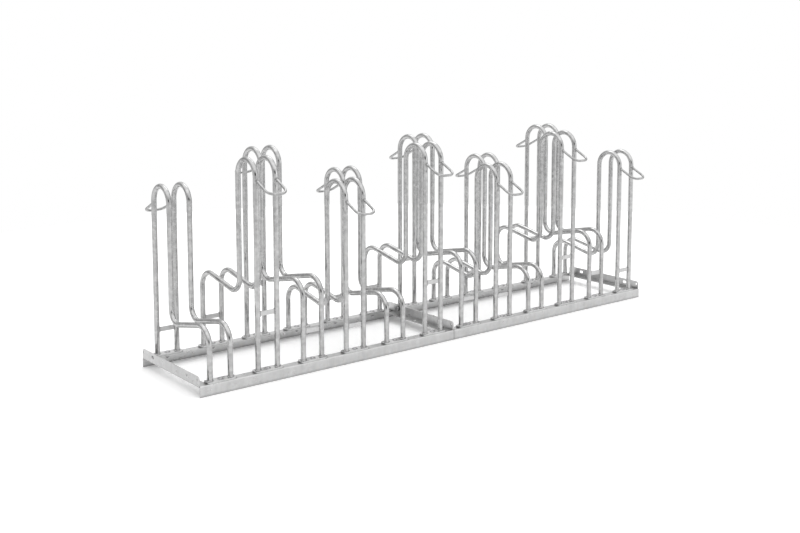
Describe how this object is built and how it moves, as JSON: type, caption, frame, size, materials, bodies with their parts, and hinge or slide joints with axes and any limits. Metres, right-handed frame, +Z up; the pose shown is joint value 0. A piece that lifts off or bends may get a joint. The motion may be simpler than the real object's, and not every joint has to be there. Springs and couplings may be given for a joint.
{
  "type": "two tier bike rack",
  "caption": "Low free-standing bicycle rack on an angle steel base, with pairs of bent tubes at two heights that hold front wheels from both sides, each with a loop for a lock.",
  "frame": {"origin": "middle of the rack's footprint at ground level, on the joint between the two modules", "axes": "+X along the rack to the right, +Y from its front to its back, +Z up"},
  "size_m": [2.092, 0.5294, 0.7318],
  "materials": {
    "galvanised_frame": "hot-dip galvanised",
    "galvanised_plate": "hot-dip galvanised",
    "galvanised_tube": "hot-dip galvanised",
    "zinc_fastener": "zinc plated"
  },
  "bodies": {
    "root": {"rail_left_front": "galvanised_frame", "rail_left_back": "galvanised_frame", "rail_right_front": "galvanised_frame", "rail_right_back": "galvanised_frame", "cross_member_left_end": "galvanised_frame", "cross_member_left_joint": "galvanised_frame", "cross_member_right_end": "galvanised_frame", "cross_member_right_joint": "galvanised_frame", "foot_plates_left_front": "galvanised_plate", "foot_plates_left_back": "galvanised_plate", "foot_plates_right_front": "galvanised_plate", "foot_plates_right_back": "galvanised_plate", "holder_01_tube_left": "galvanised_tube", "holder_01_tube_right": "galvanised_tube", "holder_02_tube_left": "galvanised_tube", "holder_02_tube_right": "galvanised_tube", "holder_03_tube_left": "galvanised_tube", "holder_03_tube_right": "galvanised_tube", "holder_04_tube_left": "galvanised_tube", "holder_04_tube_right": "galvanised_tube", "holder_05_tube_left": "galvanised_tube", "holder_05_tube_right": "galvanised_tube", "holder_06_tube_left": "galvanised_tube", "holder_06_tube_right": "galvanised_tube", "holder_07_tube_left": "galvanised_tube", "holder_07_tube_right": "galvanised_tube", "holder_08_tube_left": "galvanised_tube", "holder_08_tube_right": "galvanised_tube", "holder_09_tube_left": "galvanised_tube", "holder_09_tube_right": "galvanised_tube", "holder_10_tube_left": "galvanised_tube", "holder_10_tube_right": "galvanised_tube", "holder_11_tube_left": "galvanised_tube", "holder_11_tube_right": "galvanised_tube", "holder_12_tube_left": "galvanised_tube", "holder_12_tube_right": "galvanised_tube", "holder_01_lock_loop": "galvanised_tube", "holder_02_lock_loop": "galvanised_tube", "holder_03_lock_loop": "galvanised_tube", "holder_04_lock_loop": "galvanised_tube", "holder_05_lock_loop": "galvanised_tube", "holder_06_lock_loop": "galvanised_tube", "holder_07_lock_loop": "galvanised_tube", "holder_08_lock_loop": "galvanised_tube", "holder_09_lock_loop": "galvanised_tube", "holder_10_lock_loop": "galvanised_tube", "holder_11_lock_loop": "galvanised_tube", "holder_12_lock_loop": "galvanised_tube", "tie_bars_left": "galvanised_tube", "tie_bars_right": "galvanised_tube", "foot_bolts_front": "zinc_fastener", "foot_bolts_back": "zinc_fastener", "foot_washers": "zinc_fastener", "foot_nuts": "zinc_fastener", "joint_bolts": "zinc_fastener", "joint_washers": "zinc_fastener", "joint_nuts": "zinc_fastener"}
  },
  "joints": []
}
